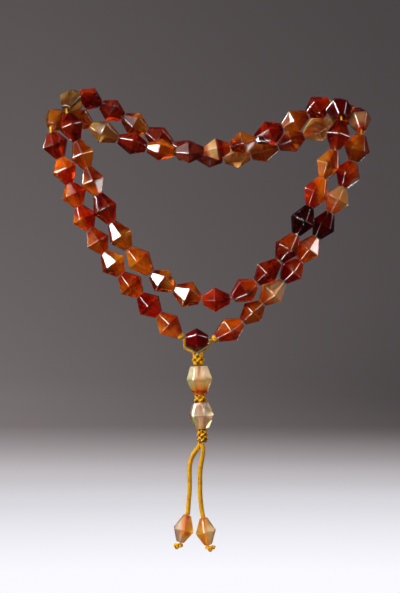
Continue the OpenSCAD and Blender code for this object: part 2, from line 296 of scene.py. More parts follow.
def new_material(name):
    """A material with one Principled shader: the material, its nodes and the shader."""
    material = bpy.data.materials.new(name)
    material.use_nodes = True
    nodes = material.node_tree.nodes
    nodes.clear()
    output = nodes.new("ShaderNodeOutputMaterial")
    shader = nodes.new("ShaderNodeBsdfPrincipled")
    feed(output.inputs["Surface"], shader.outputs["BSDF"])
    return material, nodes, shader


def attribute_node(nodes, name):
    node = nodes.new("ShaderNodeAttribute")
    node.attribute_name = name
    return node


def ramp(nodes, value, stops):
    """The colour that a value has on a ramp through (place, colour) stops."""
    node = nodes.new("ShaderNodeValToRGB")
    feed(node.inputs["Fac"], value)
    elements = node.color_ramp.elements
    while len(elements) < len(stops):
        elements.new(0.5)
    for element, (place, colour) in zip(elements, stops):
        element.position = place
        element.color = (*colour, 1)
    return node.outputs["Color"]


def math_node(nodes, operation, *values):
    node = nodes.new("ShaderNodeMath")
    node.operation = operation
    for socket, value in zip(node.inputs, values):
        feed(socket, value)
    return node.outputs[0]


def mix_node(nodes, kind, factor, first, second):
    node = nodes.new("ShaderNodeMix")
    node.data_type = kind
    for name, value in (("Factor", factor), ("A", first), ("B", second)):
        feed(node.inputs[name], value)
    return node.outputs["Result"]


def noise_node(nodes, vector, scale, detail, roughness=0.5, distortion=0):
    node = nodes.new("ShaderNodeTexNoise")
    node.inputs["Scale"].default_value = scale
    node.inputs["Detail"].default_value = detail
    node.inputs["Roughness"].default_value = roughness
    node.inputs["Distortion"].default_value = distortion
    feed(node.inputs["Vector"], vector)
    return node.outputs["Fac"]


def range_node(nodes, value, low, high, interpolation="LINEAR"):
    """Where a value lies between low and high, from 0 to 1."""
    node = nodes.new("ShaderNodeMapRange")
    node.interpolation_type = interpolation
    node.inputs["From Min"].default_value = low
    node.inputs["From Max"].default_value = high
    feed(node.inputs["Value"], value)
    return node.outputs[0]


def bump_node(nodes, height, strength, distance):
    node = nodes.new("ShaderNodeBump")
    node.inputs["Strength"].default_value = strength
    node.inputs["Distance"].default_value = distance
    feed(node.inputs["Height"], height)
    return node.outputs["Normal"]


def silk_material(name, fibre_pitch):
    """Glossy silk: fibres wind round each strand, and painted shade darkens it deep between the
    strands.
    """
    material, nodes, shader = new_material(name)
    at = attribute_node(nodes, "strand_at").outputs["Vector"]
    wave = nodes.new("ShaderNodeTexWave")
    wave.wave_type = "BANDS"
    wave.bands_direction = "DIAGONAL"
    wave.inputs["Scale"].default_value = 1 / fibre_pitch
    wave.inputs["Distortion"].default_value = 2.2
    wave.inputs["Detail"].default_value = 2
    feed(wave.inputs["Vector"], at)
    cloud = noise_node(nodes, at, scale=420, detail=4)
    blend = math_node(nodes, "ADD",
                      math_node(nodes, "MULTIPLY", wave.outputs["Fac"], FIBRE_SHARE),
                      math_node(nodes, "MULTIPLY", cloud, 1 - FIBRE_SHARE))
    colour = ramp(nodes, blend, [(0.2, SILK_DARK), (0.48, SILK), (0.82, SILK_LIGHT)])
    # Painted shade: the silk turns dark where it lies deep between a braid's strands
    deep = attribute_node(nodes, "deep").outputs["Fac"]
    shade = ramp(nodes, deep, [(0.16, (0, 0, 0)), (0.42, (1, 1, 1))])
    tone = mix_node(nodes, "RGBA", shade, colour, (*SILK_PAINTED_SHADE, 1))
    feed(shader.inputs["Base Color"], tone)
    bump = bump_node(nodes, wave.outputs["Fac"], strength=0.5, distance=0.00012)
    feed(shader.inputs["Normal"], bump)
    shader.inputs["Roughness"].default_value = 0.42
    shader.inputs["Specular IOR Level"].default_value = 0.15
    shader.inputs["Specular Tint"].default_value = (1, 0.7, 0.12, 1)
    shader.inputs["Sheen Weight"].default_value = 0.12
    shader.inputs["Sheen Roughness"].default_value = 0.35
    shader.inputs["Sheen Tint"].default_value = (1, 0.75, 0.15, 1)
    shader.inputs["Subsurface Weight"].default_value = 0.15
    shader.inputs["Subsurface Radius"].default_value = (1, 0.5, 0.1)
    shader.inputs["Subsurface Scale"].default_value = 0.0006
    return material


# Stones

def components(obj):
    """The loose solids of a CAD node: each one's separate vertices, to a micrometre."""
    mesh = obj.data
    co = np.zeros(len(mesh.vertices) * 3)
    mesh.vertices.foreach_get("co", co)
    co = co.reshape(-1, 3)
    key, index = np.unique(np.round(co * 1e6).astype(np.int64), axis=0, return_inverse=True)
    index = index.ravel()
    parent = list(range(len(key)))

    def find(i):
        while parent[i] != i:
            parent[i] = parent[parent[i]]
            i = parent[i]
        return i

    for edge in mesh.edges:
        a, b = find(index[edge.vertices[0]]), find(index[edge.vertices[1]])
        parent[b] = a
    roots = np.array([find(i) for i in range(len(key))])
    return [key[roots == r] * 1e-6 for r in np.unique(roots)]


class Cut:
    """A drilled stone of the part, read from its vertices: its two end faces, the corners of its
    widest line and the size of its hole."""

    def __init__(self, vertices, node):
        self.node = node
        centre = vertices.mean(0)
        _, _, axes = np.linalg.svd(vertices - centre)
        axis = axes[0]
        along = (vertices - centre) @ axis
        near = 0.2 * MM  # how near an end a vertex of its end face lies
        first = vertices[along < along.min() + near]
        second = vertices[along > along.max() - near]
        middle = vertices[(along >= along.min() + near) & (along <= along.max() - near)]
        self.sides = len(middle)
        self.start, self.start_rim, self.hole = self.end_face(first)
        self.end, self.end_rim, _ = self.end_face(second)
        self.corners = middle

    def end_face(self, vertices):
        """(centre, outer corners, radius of the hole) of the stone's one end"""
        spread = np.linalg.norm(vertices - vertices.mean(0), axis=1)
        order = np.argsort(spread)
        bore = vertices[order[:self.sides]]
        centre = bore.mean(0)
        rim = vertices[order[self.sides:]]
        return centre, rim, np.linalg.norm(bore - centre, axis=1).mean()

    def turned(self):
        """The same stone, named from its other end."""
        self.start, self.end = self.end, self.start
        self.start_rim, self.end_rim = self.end_rim, self.start_rim
        return self

    def shape(self):
        """(axis, length, place of the widest line, corner vectors there, tip scales)"""
        length = np.linalg.norm(self.end - self.start)
        axis = (self.end - self.start) / length
        belly = ((self.corners - self.start) @ axis).mean()
        spokes = self.corners - self.start - np.outer((self.corners - self.start) @ axis, axis)
        side = np.cross(axis, (0, 1, 0))
        side /= np.linalg.norm(side)
        up = np.cross(axis, side)
        spokes = spokes[np.argsort(np.arctan2(spokes @ up, spokes @ side))]
        wide = np.linalg.norm(spokes, axis=1).mean()
        scales = [np.linalg.norm(rim - centre, axis=1).mean() / wide
                  for rim, centre in ((self.start_rim, self.start), (self.end_rim, self.end))]
        return axis, length, belly, spokes, scales


def cuts_of(node):
    return [Cut(solid, node) for solid in components(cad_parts[node])]


CORNER_STEPS = 3  # mesh steps round a worn edge
SIDE_STEPS = 3  # across a facet
FACET_STEPS = 4  # along a facet
WORN_MOST = 0.3  # the largest share of a side that wear takes at one corner
ALONG_WEAR = 0.9  # wear of the edges round a stone, as a share of that of the edges along it
MOUTH_WEAR = 1.6  # how far the rim of an end face is worn inward, in wears
MOUTH_LIP = 0.25 * MM  # bevel at the mouth of a drilled hole
WAVE_PITCH = 3.5 * MM  # of the slight waves that hand cutting leaves on a facet


def bezier(a, b, c, t):
    return a * (1 - t) ** 2 + 2 * b * t * (1 - t) + c * t ** 2


def polygon_ring(spokes, scale, wear):
    """A polygon with worn corners: the points round it, and how worn each one is."""
    points = []
    edge = []
    corners = spokes * scale
    n = len(corners)
    for j in range(n):
        here, before, after = corners[j], corners[j - 1], corners[(j + 1) % n]
        back, on = before - here, after - here
        room = min(wear, WORN_MOST * np.linalg.norm(back), WORN_MOST * np.linalg.norm(on))
        a = here + back / np.linalg.norm(back) * room
        c = here + on / np.linalg.norm(on) * room
        for k in range(CORNER_STEPS + 1):
            points.append(bezier(a, here, c, k / CORNER_STEPS))
            edge.append(1.0)
        next_room = min(wear, WORN_MOST * np.linalg.norm(on))
        turn = after + (here - after) / np.linalg.norm(on) * next_room
        for k in range(1, SIDE_STEPS + 1):
            points.append(c + (turn - c) * k / (SIDE_STEPS + 1))
            edge.append(0.0)
    return np.array(points), np.array(edge)


def profile(length, belly, scales, wide, wear):
    """Stations along a stone from one hole mouth to the other: (place, scale, worn)."""
    inward = MOUTH_WEAR * (wear / wide)
    marks = [(0, scales[0] - inward), (0, scales[0]), (belly, 1), (length, scales[1]),
             (length, scales[1] - inward)]
    scaled = np.array([1, wide])
    room = wear * ALONG_WEAR
    stops = [(0, marks[0][1], 0)]
    for i in (1, 2, 3):
        a, b, c = (np.array(mark, float) for mark in marks[i - 1:i + 2])
        back = (a - b) * scaled
        on = (c - b) * scaled
        first = b + back / np.linalg.norm(back) * room / scaled
        last = b + on / np.linalg.norm(on) * room / scaled
        if i > 1:
            before = stops[-1]
            for k in range(1, FACET_STEPS + 1):
                t = k / (FACET_STEPS + 1)
                stops.append((before[0] + (first[0] - before[0]) * t,
                              before[1] + (first[1] - before[1]) * t, 0))
        for k in range(CORNER_STEPS + 1):
            place, scale = bezier(first, b, last, k / CORNER_STEPS)
            stops.append((place, scale, 1))
    stops.append((length, marks[4][1], 0))
    return stops


def add_stone(parts, cut, rng, wear, tones, glow_and_tone_side=(0, 0, 0), banded=0.2,
              waviness=0.016 * MM, slot=0):
    """One worn stone with its drilled hole, and the colours and places its material reads. tones
    gives its dark and its light tone by place along it, from 0 to 1, its light side points from its
    middle to where the lighter tone gathers, partly the stone's own tone and partly a painted glow
    where light comes through it, and banded is how clear its bands are."""
    axis, length, belly, spokes, scales = cut.shape()
    wide = np.linalg.norm(spokes, axis=1).mean()
    rings, worn = [], []
    for place, scale, edge in profile(length, belly, scales, wide, wear):
        ring, ring_edge = polygon_ring(spokes, scale, wear)
        rings.append(cut.start + axis * place + ring)
        worn.append(np.maximum(ring_edge, edge))
    count = len(rings[0])
    spread = rings[0] - cut.start
    spread /= np.linalg.norm(spread, axis=1)[:, None]
    outer = len(rings) * count
    mouth = cut.hole + MOUTH_LIP
    for place, radius in ((length, mouth), (length - MOUTH_LIP, cut.hole),
                          (MOUTH_LIP, cut.hole), (0, mouth)):
        rings.append(cut.start + axis * place + spread * radius)
        worn.append(np.zeros(count))
    points = np.concatenate(rings)
    worn = np.concatenate(worn)
    # The hand cutting leaves each facet a little wavy
    shift = Vector([rng.uniform(-9, 9) for _ in range(3)])
    middle = (cut.start + cut.end) / 2
    for i in range(outer):
        lift = noise.noise(Vector(points[i] / WAVE_PITCH) + shift) * waviness
        out = points[i] - middle
        points[i] += out / np.linalg.norm(out) * lift
    # Each stone's clouds and bands are turned and placed in a way of their own
    spin = Matrix.Rotation(rng.uniform(0, 2 * math.pi), 3, Vector(axis))
    tilt = Matrix.Rotation(rng.uniform(-0.9, 0.9), 3, Vector(np.cross(axis, (0, 1, 0))))
    local = (points - middle) @ np.array(tilt @ spin).T
    offset = np.array([rng.uniform(-1, 1) for _ in range(3)])
    # Lighter towards one side: partly the stone's own tone, partly a painted glow where light comes
    # through it
    lean = (points - middle) @ np.array(glow_and_tone_side, float) / (length / 2)
    values = {"stone_at": local + offset, "worn": worn[:, None], "lean": lean[:, None],
              "banded": np.full((len(points), 1), banded)}
    along = (points - cut.start) @ axis / length
    for name, stops in tones.items():
        colours = [np.interp(along, [t for t, _ in stops], [c[k] for _, c in stops])
                   for k in range(3)]
        values[name] = np.stack(colours + [np.ones(len(points))], 1)
    parts.add(points, ring_faces(len(rings), count, closed=True), slot, **values)


BAND_PITCH = 2.4 * MM
BAND_WARP = 11.0  # how far the bands bend, in radians of their pitch
# How far a stone's clouds, its lighter side (partly its own tone, partly a painted glow) and its
# bands take it from its dark tone to its light one
CLOUD_SHARE = 1.7
CLOUD_SHIFT = -0.42
GLOW_AND_TONE_SHARE = 0.62
BAND_SHARE = 0.34
# Roughness of the polish, and what scratches and worn edges add to it
POLISHED_ROUGHNESS = 0.03
SCRATCH_ROUGHNESS = 0.05
WORN_ROUGHNESS = 0.05


def agate_material(name, clear, absorb, density, scatter=4 * MM):
    """Agate: clouds and bands between a stone's own two tones, clear enough to see into."""
    material, nodes, shader = new_material(name)
    at = attribute_node(nodes, "stone_at").outputs["Vector"]
    worn = attribute_node(nodes, "worn").outputs["Fac"]
    lean = attribute_node(nodes, "lean").outputs["Fac"]
    banded = attribute_node(nodes, "banded").outputs["Fac"]
    warp = noise_node(nodes, at, scale=130, detail=2, distortion=0.4)
    cloud = noise_node(nodes, at, scale=110, detail=2, roughness=0.45, distortion=0.5)
    split = nodes.new("ShaderNodeSeparateXYZ")
    feed(split.inputs["Vector"], at)
    phase = math_node(nodes, "ADD",
                      math_node(nodes, "MULTIPLY", split.outputs["X"], 2 * math.pi / BAND_PITCH),
                      math_node(nodes, "MULTIPLY", warp, BAND_WARP))
    band = math_node(nodes, "MULTIPLY", math_node(nodes, "SINE", phase), banded)
    # 0 is all dark tone and 1 all light
    mixed = math_node(nodes, "ADD", math_node(nodes, "MULTIPLY", cloud, CLOUD_SHARE), CLOUD_SHIFT)
    # The side's painted glow, with the stone's own lighter tone there, pulls towards the light tone
    mixed = math_node(nodes, "ADD", mixed, math_node(nodes, "MULTIPLY", lean, GLOW_AND_TONE_SHARE))
    mixed = math_node(nodes, "ADD", mixed, math_node(nodes, "MULTIPLY", band, BAND_SHARE))
    tone = range_node(nodes, mixed, low=0.15, high=0.85, interpolation="SMOOTHSTEP")
    dark = attribute_node(nodes, "tone_dark").outputs["Color"]
    light = attribute_node(nodes, "tone_light").outputs["Color"]
    feed(shader.inputs["Base Color"], mix_node(nodes, "RGBA", tone, dark, light))
    scratch = noise_node(nodes, at, scale=1400, detail=3)
    rough = math_node(nodes, "ADD", math_node(nodes, "MULTIPLY", scratch, SCRATCH_ROUGHNESS),
                      POLISHED_ROUGHNESS)
    rough = math_node(nodes, "ADD", math_node(nodes, "MULTIPLY", worn, WORN_ROUGHNESS), rough)
    feed(shader.inputs["Roughness"], rough)
    fine = noise_node(nodes, at, scale=700, detail=3)
    feed(shader.inputs["Normal"], bump_node(nodes, fine, strength=0.1, distance=0.00005))
    shader.inputs["IOR"].default_value = 1.54
    shader.inputs["Transmission Weight"].default_value = clear
    shader.inputs["Subsurface Weight"].default_value = 0.9
    shader.inputs["Subsurface Radius"].default_value = (1, 0.32, 0.12)
    shader.inputs["Subsurface Scale"].default_value = scatter
    volume = nodes.new("ShaderNodeVolumeAbsorption")
    volume.inputs["Color"].default_value = (*absorb, 1)
    volume.inputs["Density"].default_value = density
    feed(nodes["Material Output"].inputs["Volume"], volume.outputs["Volume"])
    return material


# The string's stones in order from the guru's left. Each has a letter for its tones, a digit for
# the side where its lighter tone gathers, partly its own tone and partly a painted glow where light
# comes through it, as the keys lie on a computer's number pad, seen from the front, and a digit for
# how light it is: 5 leaves its tones as they are, and each step from 5 changes them by a tenth
STONES = "bdoaoooodabsdampbdadkdbokrdrdobaadbadsddbrmmsaosddarpkarpoo"
GLOW_AND_TONE_SIDES = "13261117555455546555534639564561331648716555555555567559638"
LIGHTNESS = "98675879437546754644525632357359436630344348833945676996837"
LIGHTNESS_STEP = 0.1
BANDED = {7: 0.4, 15: 0.3, 22: 0.4, 52: 0.6, 56: 0.6}  # the clearly banded ones
BANDED_ELSE = 0.18  # the others
TONES = {  # by letter: the dark and the light tone
    "k": ((0.022, 0.0001, 0.0001), (0.12, 0.0010, 0.0006)),
    "d": ((0.17, 0.0012, 0.0002), (0.54, 0.038, 0.0014)),
    "r": ((0.25, 0.003, 0.0002), (0.64, 0.10, 0.002)),
    "o": ((0.32, 0.012, 0.0003), (0.68, 0.20, 0.003)),
    "a": ((0.31, 0.042, 0.0004), (0.60, 0.23, 0.007)),
    "b": ((0.23, 0.021, 0.0008), (0.68, 0.26, 0.017)),
    "m": ((0.12, 0.006, 0.003), (0.36, 0.06, 0.025)),
    "s": ((0.30, 0.095, 0.014), (0.72, 0.46, 0.14)),
    "p": ((0.66, 0.13, 0.008), (0.92, 0.70, 0.26)),
}


def glow_and_tone_side(key):
    """The direction from the middle of a number pad to one of its keys."""
    column, row = (int(key) - 1) % 3 - 1, (int(key) - 1) // 3 - 1
    way = Vector((column, 0, row))
    return way.normalized() if way.length else way


# Stones with zones of their own along the thread: place and light tone
CREAMY = (0.84, 0.58, 0.28)
GREYISH = (0.70, 0.57, 0.40)
BLOOD = (0.20, 0.004, 0.002)
TAWNY = (0.62, 0.12, 0.008)
ZONES = {
    15: [(0, TAWNY), (0.1, TAWNY), (0.16, CREAMY), (0.46, CREAMY), (0.51, BLOOD), (0.72, BLOOD),
         (0.82, TAWNY)],
    49: [(0, BLOOD), (0.45, BLOOD), (0.52, CREAMY), (0.8, CREAMY), (0.9, TAWNY)],
    52: [(0, GREYISH), (0.3, CREAMY), (0.55, CREAMY), (0.8, (0.95, 0.36, 0.04))],
    56: [(0, GREYISH), (0.5, CREAMY), (0.75, (0.88, 0.34, 0.05)), (1, TAWNY)],
}
ZONE_DARK = (0.8, 0.55, 0.3)  # a zone's dark tone, as shares of its light tone's three colours


def tones_of(index, letter, digit, rng):
    """The dark and the light tone of one of the string's stones, by place along it."""
    shade = (1 + LIGHTNESS_STEP * (int(digit) - 5)) * rng.uniform(0.95, 1.05)
    if index in ZONES:
        light = ZONES[index]
        dark = [(place, [share * c for share, c in zip(ZONE_DARK, colour)])
                for place, colour in light]
    else:
        dark, light = ([(0, [min(1, c * shade) for c in colour])] for colour in TONES[letter])
    return {"tone_dark": dark, "tone_light": light}


TURN_COST = 4 * MM  # what a right-angled turn of the thread counts for, as a distance


def string_order(cuts, start):
    """The stones in the order that the thread runs through them, each named from the end where
    the thread goes in."""
    left = list(cuts)
    made = []
    here = np.array(start)
    heading = None
    while left:
        best = None
        for cut in left:
            for turned in (False, True):
                tip, far = (cut.end, cut.start) if turned else (cut.start, cut.end)
                way = (far - tip) / np.linalg.norm(far - tip)
                cost = np.linalg.norm(tip - here)
                if heading is not None:
                    cost += TURN_COST * (1 - way @ heading)
                if best is None or cost < best[0]:
                    best = (cost, cut, turned, way)
        _, cut, turned, heading = best
        left.remove(cut)
        made.append(cut.turned() if turned else cut)
        here = cut.end
    return made


# Studio

MIRRORED_IN_FRONT = 0.01  # how far a mirrored lamp stands in front of the lit one


def area_light(name, place, aim, size, lit=0, mirrored=0):
    """A soft box. lit is its power on what scatters light, and mirrored the power that polished
    facets and edges show of it, on a second lamp a little in front."""
    way = Vector(aim) - Vector(place)
    for part, power, is_mirrored in (("lit", lit, False), ("mirrored", mirrored, True)):
        if not power:
            continue
        data = bpy.data.lights.new(f"{name}_{part}", "AREA")
        data.shape = "RECTANGLE"
        data.size, data.size_y = size
        data.energy = power
        lamp = bpy.data.objects.new(f"{name}_{part}", data)
        lamp.location = place
        if is_mirrored:
            lamp.location += way.normalized() * MIRRORED_IN_FRONT
        lamp.rotation_euler = way.to_track_quat("-Z", "Y").to_euler()
        lamp.visible_camera = False
        lamp.visible_glossy = is_mirrored
        lamp.visible_diffuse = not is_mirrored
        lamp.visible_transmission = not is_mirrored
        bpy.context.scene.collection.objects.link(lamp)


FLOOR_Z = -0.30
FLOOR_RADIUS = 1.2
FLOOR_RINGS = 6
COVE_RADIUS = 0.9
COVE_STEPS = 32
WALL_TOP = 3.0
BACKDROP_SIDES = 96
TINT_HEIGHT = 0.06  # the floor's tint turns into the wall's below this height over the floor
# The cove glows with painted light and no lamp lights it. FLOOR_LIGHT is the floor's painted
# brightness by distance from its middle, and WALL_LIGHT the wall's by height, as a share of the
# floor's at its far edge. WALL_ACROSS is how the wall's painted light changes from left to right,
# and ACROSS_BY_HEIGHT how much of that counts at a height
FLOOR_LIGHT = [(0.0, 0.96), (0.62, 0.95), (0.8, 0.88), (1.0, 0.79), (1.2, 0.69)]
WALL_ACROSS = [(-0.5, 1.56), (-0.24, 1.46), (-0.1, 1.2), (0.0, 1.0), (0.1, 0.82), (0.24, 0.58),
               (0.5, 0.52)]
ACROSS_BY_HEIGHT = [(-0.30, 0.0), (-0.285, 0.12), (-0.27, 0.3), (-0.258, 0.42), (-0.243, 0.8),
                    (-0.21, 1.0), (-0.155, 0.77), (-0.1, 0.63), (0.0, 0.52), (0.3, 0.42)]
WALL_LIGHT = [(-0.30, 1.0), (-0.29, 0.80), (-0.28, 0.67), (-0.27, 0.50), (-0.26, 0.37),
              (-0.25, 0.26), (-0.24, 0.178), (-0.22, 0.162), (-0.19, 0.146), (0.0, 0.130),
              (0.3, 0.104), (1.0, 0.09)]
FLOOR_TINT = (1.01, 1.0, 1.06)
WALL_TINT = (1.15, 1.0, 1.02)


def curve_node(nodes, value, table):
    """Maps a value through a table of (value, result) pairs."""
    low, high = table[0][0], table[-1][0]
    place = range_node(nodes, value, low, high)
    return ramp(nodes, place, [((x - low) / (high - low), (y, y, y)) for x, y in table])


def cove_material():
    """A painted glow for the studio light: the floor's white near the middle, fading to the wall's
    grey.
    """
    material = bpy.data.materials.new("studio_cove_painted_light")
    material.use_nodes = True
    nodes = material.node_tree.nodes
    nodes.clear()
    output = nodes.new("ShaderNodeOutputMaterial")
    glow = nodes.new("ShaderNodeEmission")
    feed(output.inputs["Surface"], glow.outputs["Emission"])
    split = nodes.new("ShaderNodeSeparateXYZ")
    feed(split.inputs["Vector"], nodes.new("ShaderNodeTexCoord").outputs["Object"])
    across, back, height = split.outputs
    flat = nodes.new("ShaderNodeCombineXYZ")
    feed(flat.inputs["X"], across)
    feed(flat.inputs["Y"], back)
    distance = nodes.new("ShaderNodeVectorMath")
    distance.operation = "LENGTH"
    feed(distance.inputs[0], flat.outputs["Vector"])
    # Painted light: bright on the floor, falling off with distance, up the wall and towards the
    # right
    level = math_node(nodes, "MULTIPLY",
                      curve_node(nodes, distance.outputs["Value"], FLOOR_LIGHT),
                      curve_node(nodes, height, WALL_LIGHT))
    side = mix_node(nodes, "FLOAT", curve_node(nodes, height, ACROSS_BY_HEIGHT), 1,
                    curve_node(nodes, across, WALL_ACROSS))
    feed(glow.inputs["Strength"], math_node(nodes, "MULTIPLY", level, side))
    wall_share = range_node(nodes, height, low=FLOOR_Z, high=FLOOR_Z + TINT_HEIGHT)
    tint = mix_node(nodes, "RGBA", wall_share, (*FLOOR_TINT, 1), (*WALL_TINT, 1))
    feed(glow.inputs["Color"], tint)
    return material


def backdrop():
    """A plain pale floor in a round cove, whose painted glow fades from the floor's white to grey
    up the wall.
    """
    outline = [(FLOOR_RADIUS * k / FLOOR_RINGS, FLOOR_Z) for k in range(FLOOR_RINGS + 1)]
    for k in range(1, COVE_STEPS + 1):
        a = math.radians(90 * k / COVE_STEPS)
        outline.append((FLOOR_RADIUS + COVE_RADIUS * math.sin(a),
                        FLOOR_Z + COVE_RADIUS * (1 - math.cos(a))))
    outline.append((FLOOR_RADIUS + COVE_RADIUS, WALL_TOP))
    around = BACKDROP_SIDES
    points = [(r * math.cos(2 * math.pi * k / around), r * math.sin(2 * math.pi * k / around), z)
              for r, z in outline for k in range(around)]
    faces = [[i * around + k, i * around + (k + 1) % around,
              (i + 1) * around + (k + 1) % around, (i + 1) * around + k]
             for i in range(len(outline) - 1) for k in range(around)]
    data = bpy.data.meshes.new("backdrop")
    data.from_pydata(points, [], faces)
    data.materials.append(cove_material())
    data.polygons.foreach_set("use_smooth", [True] * len(data.polygons))
    obj = bpy.data.objects.new("backdrop", data)
    bpy.context.scene.collection.objects.link(obj)
    # The lamps alone light the mala and show in its facets
    obj.visible_diffuse = False
    obj.visible_glossy = False


STRING_MIDDLE = (0, -0.008, -0.05)


def studio():
    scene = bpy.context.scene
    scene.view_settings.view_transform = "Standard"
    world = bpy.data.worlds.new("studio_world")
    world.use_nodes = True
    background = world.node_tree.nodes["Background"]
    background.inputs["Color"].default_value = (0.95, 0.95, 1, 1)
    background.inputs["Strength"].default_value = 0.02
    scene.world = world
    aim = PICTURE_CENTRE
    # A large soft box at the left in front, a smaller one at the right, and dim panels
    area_light("left_box", (-0.871, -0.572, 0.285), aim, (0.417, 0.40), lit=10.9, mirrored=32.6)
    area_light("right_box", (1.046, -0.207, 0.173), aim, (0.18, 0.20), lit=2.2, mirrored=1.6)
    area_light("left_upper_panel", (-0.62, -0.45, 0.55), aim, (0.45, 0.35), lit=1.3, mirrored=1.1)
    area_light("right_low_panel", (0.527, -0.081, -0.253), STRING_MIDDLE, (0.09, 0.09), lit=0.25,
               mirrored=0.25)
    # Panels that show only in the stones, most of all as thin lines along their worn edges
    area_light("left_side_panel", (-1.040, 0.172, 0.229), aim, (0.20, 0.24), mirrored=24)
    area_light("left_low_panel", (-0.667, -0.565, -0.770), aim, (0.22, 0.22), mirrored=12)
    area_light("right_side_panel", (0.944, -0.262, 0.407), aim, (0.22, 0.22), mirrored=4)
    area_light("front_panel", (-0.383, -0.902, 0.424), aim, (0.16, 0.16), mirrored=12)
    area_light("left_edge_panel", (-1.044, -0.192, 0.211), aim, (0.10, 0.10), mirrored=3)
    area_light("back_right_panel", (0.431, 0.967, -0.358), aim, (0.10, 0.10), mirrored=0.8)
    # A large fill that no facet mirrors, and a light behind, so that the stones glow from within
    area_light("front_fill", (-0.5, -0.9, 0.6), aim, (1.0, 1.0), lit=12.0)
    area_light("back_box", (-0.1, 0.55, 0.75), aim, (0.9, 0.5), lit=6.0)


# Tail cords and slings

silk_strand = silk_material("silk_strand", fibre_pitch=0.0006)


def finish_piece(piece, node):
    """Makes a piece stand for a node of the part."""
    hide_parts(node)
    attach(piece, BODY)
    return piece


def silk_piece(name, parts, node):
    return finish_piece(parts.build(name, silk_strand), node)


def route_line(route, spacing):
    """A smooth curve through a route's points, as points at an even distance."""
    return resample(catmull([Vector(p) for p in route], steps=8), spacing)


def tail_cord(name, route, node):
    """A braided cord round a plain core: the piece, and the line that it follows."""
    line = route_line(route, spacing=0.22 * MM)
    parts = MeshParts()
    braid(parts, line, TAIL_W, each_way=6, pitch=7.5 * MM, strand_w=0.72 * MM, sides=6, lift=0.07)
    sweep(parts, line, radius=0.9 * MM, sides=12)
    return silk_piece(name, parts, node), line


left_tail, left_line = tail_cord("left_tail", LEFT_TAIL_ROUTE, "left_tail_cord")
right_tail, right_line = tail_cord("right_tail", RIGHT_TAIL_ROUTE, "right_tail_cord")


def sling(name, route, node, into_knot):
    """A thin twisted cord, whose end goes on to a point inside the upper knot."""
    parts = MeshParts()
    line = route_line(route + [into_knot], spacing=0.15 * MM)
    ply_cord(parts, line, SLING_W, plies=2, pitch=2.4 * MM, sides=8)
    silk_piece(name, parts, node)


sling("left_sling", LEFT_SLING_ROUTE, "left_sling_cord", into_knot=(-0.0060, -0.0082, -0.1214))
sling("right_sling", RIGHT_SLING_ROUTE, "right_sling_cord", into_knot=(-0.0020, -0.0082, -0.1214))


# Knots and core of the pendant

pendant_way = (PENDANT_FOOT - PENDANT_TOP).normalized()


def on_pendant(z):
    """The point of the pendant's axis at a height."""
    return PENDANT_TOP + pendant_way * ((z - PENDANT_TOP.z) / pendant_way.z)


def drawn_ends(t):
    """How wide a knot is at a place along it, as a share: drawn in a little at its two ends."""
    end = 0.2
    narrowest = 0.78
    rise = np.clip(np.minimum(t, 1 - t) / end, 0, 1)
    return narrowest + (1 - narrowest) * np.sin(rise * math.pi / 2)


def knot(name, node, width, turns, strand_w):
    """A knot of four strands each way, braided round the silk core."""
    low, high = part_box(node)
    inset = strand_w * 0.45  # as a strand is thick, its line ends inside the knot's box
    core_r = width * 0.22
    top, foot = on_pendant(high.z - inset), on_pendant(low.z + inset)
    line = resample([top, foot], spacing=0.2 * MM)
    parts = MeshParts()
    braid(parts, line, width, each_way=4, pitch=(top - foot).length / turns, strand_w=strand_w,
          sides=10, lift=0.16, gather=drawn_ends)
    sweep(parts, line, core_r, sides=12)
    silk_piece(name, parts, node)


knot("upper_knot_silk", "upper_knot", width=6.7 * MM, turns=0.45, strand_w=1.35 * MM)
knot("middle_knot_silk", "middle_knot", width=6.9 * MM, turns=0.3, strand_w=1.2 * MM)
knot("lower_knot_silk", "lower_knot", width=5.7 * MM, turns=0.6, strand_w=1.15 * MM)


def pendant_core():
    low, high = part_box("pendant_core")
    line = resample([on_pendant(high.z), on_pendant(low.z)], spacing=0.3 * MM)
    parts = MeshParts()
    ply_cord(parts, line, CORE_W, plies=3, pitch=5 * MM, sides=8)
    silk_piece("core_silk", parts, "pendant_core")


pendant_core()


# Stones of the string

STONES_SEED = 8

random_stones = random.Random(STONES_SEED)
guru_cut = cuts_of("guru_bead")[0]
if guru_cut.start[0] > guru_cut.end[0]:
    guru_cut.turned()
string = string_order(cuts_of("first_turn_beads") + cuts_of("second_turn_beads"), guru_cut.start)
assert len(string) == len(STONES)

red_agate = agate_material("red_agate", clear=0.7, absorb=(0.9, 0.36, 0.10), density=60)
deep_agate = agate_material("deep_agate", clear=0.25, absorb=(0.8, 0.10, 0.05), density=60)
grey_agate = agate_material("grey_agate", clear=0.5, absorb=(0.92, 0.74, 0.50), density=40,
                            scatter=2.5 * MM)
string_agate = (red_agate, deep_agate, grey_agate)
STRING_SLOTS = {"k": 1, "m": 2, "s": 2, "p": 2}  # the other letters are the red agate, 0
STRING_WEAR = 0.42 * MM
CRISP = (4, 5, 24, 33, 53)  # stones with less worn edges
CRISP_WEAR = 0.4  # as a share of the others'
turns = {"first_turn_beads": MeshParts(), "second_turn_beads": MeshParts()}
for i, (cut, letter, key, digit) in enumerate(zip(string, STONES, GLOW_AND_TONE_SIDES, LIGHTNESS)):
    wear = STRING_WEAR * random_stones.uniform(0.8, 1.2) * (CRISP_WEAR if i in CRISP else 1)
    add_stone(turns[cut.node], cut, random_stones, wear,
              tones_of(i, letter, digit, random_stones), glow_and_tone_side(key),
              BANDED.get(i, BANDED_ELSE), slot=STRING_SLOTS.get(letter, 0))


